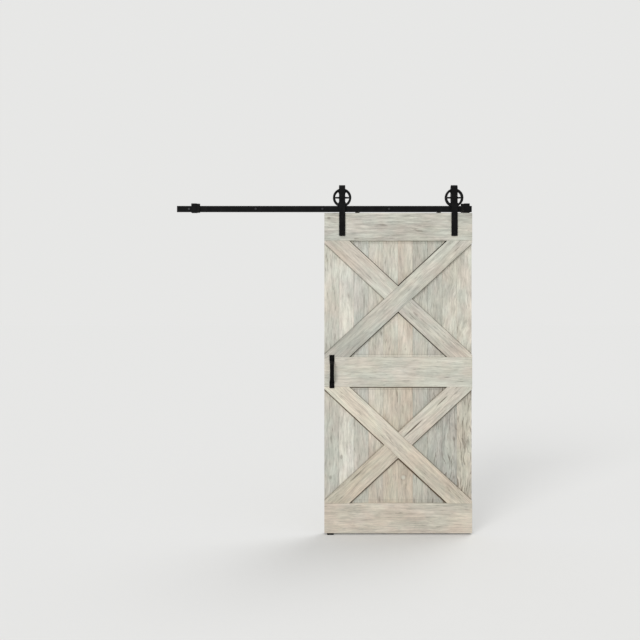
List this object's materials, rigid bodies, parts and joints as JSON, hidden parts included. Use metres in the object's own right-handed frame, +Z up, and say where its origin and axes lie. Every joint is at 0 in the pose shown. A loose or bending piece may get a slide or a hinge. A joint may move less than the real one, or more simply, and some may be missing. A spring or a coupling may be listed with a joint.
{
  "type": "sliding barn door",
  "caption": "Sliding plank door with crossed braces in two panels, hung by bent straps and spoked wheels from a flat wall track with end stops, with a pull handle.",
  "frame": {"origin": "axis of the centre wall bolt, at the wall's surface; the door is at rest fully open, at the right end of its track", "axes": "+X to the right along the track, +Y into the wall, +Z up; the leaf's front faces -Y"},
  "size_m": [1.8288, 0.131, 2.1655],
  "materials": {
    "board_wood": "whitewashed, worn",
    "rail_wood": "whitewashed, worn",
    "brace_wood": "whitewashed, worn",
    "black_steel": "matte black powder coat",
    "black_fastener": "black oxide",
    "wheel_iron": "matte black",
    "bush_bronze": "oiled",
    "bumper_rubber": "matte",
    "black_nylon": "matte"
  },
  "bodies": {
    "track": {"track_bar": "black_steel", "track_standoffs": "black_steel", "lag_bolts": "black_fastener", "floor_guide": "black_steel", "stop_grub_screws": "black_fastener", "stop_block_left": "black_steel", "stop_block_right": "black_steel", "stop_bumper_left": "bumper_rubber", "stop_bumper_right": "bumper_rubber"},
    "door": {"board_01": "board_wood", "board_02": "board_wood", "board_03": "board_wood", "board_04": "board_wood", "board_05": "board_wood", "board_06": "board_wood", "board_07": "board_wood", "board_08": "board_wood", "board_09": "board_wood", "board_10": "board_wood", "top_rail": "rail_wood", "middle_rail": "rail_wood", "bottom_rail": "rail_wood", "upper_brace_whole": "brace_wood", "upper_brace_half_above": "brace_wood", "upper_brace_half_below": "brace_wood", "lower_brace_whole": "brace_wood", "lower_brace_half_above": "brace_wood", "lower_brace_half_below": "brace_wood", "hanger_strap_left": "black_steel", "hanger_strap_right": "black_steel", "axle_bolts": "black_fastener", "axle_nuts": "black_fastener", "axle_bushes": "bush_bronze", "strap_screws": "black_fastener", "anti_jump_discs": "black_nylon", "pull_handle": "black_steel"},
    "wheel_left": {"wheel_left": "wheel_iron"},
    "wheel_right": {"wheel_right": "wheel_iron"}
  },
  "joints": [
    {"name": "door_slide", "type": "slide", "parent": "track", "child": "door", "axis": [1, 0, 0], "range_m": [-0.8384, 0]},
    {"name": "wheel_left_spin", "type": "hinge", "parent": "door", "child": "wheel_left", "pos_m": [0.1227, -0.031, 0.07005], "axis": [0, 1, 0], "continuous": true},
    {"name": "wheel_right_spin", "type": "hinge", "parent": "door", "child": "wheel_right", "pos_m": [0.8171, -0.031, 0.07005], "axis": [0, 1, 0], "continuous": true}
  ],
  "couplings": [
    {"joint": "wheel_left_spin", "follows": "door_slide", "rad_per_m": 19.685},
    {"joint": "wheel_right_spin", "follows": "door_slide", "rad_per_m": 19.685}
  ]
}
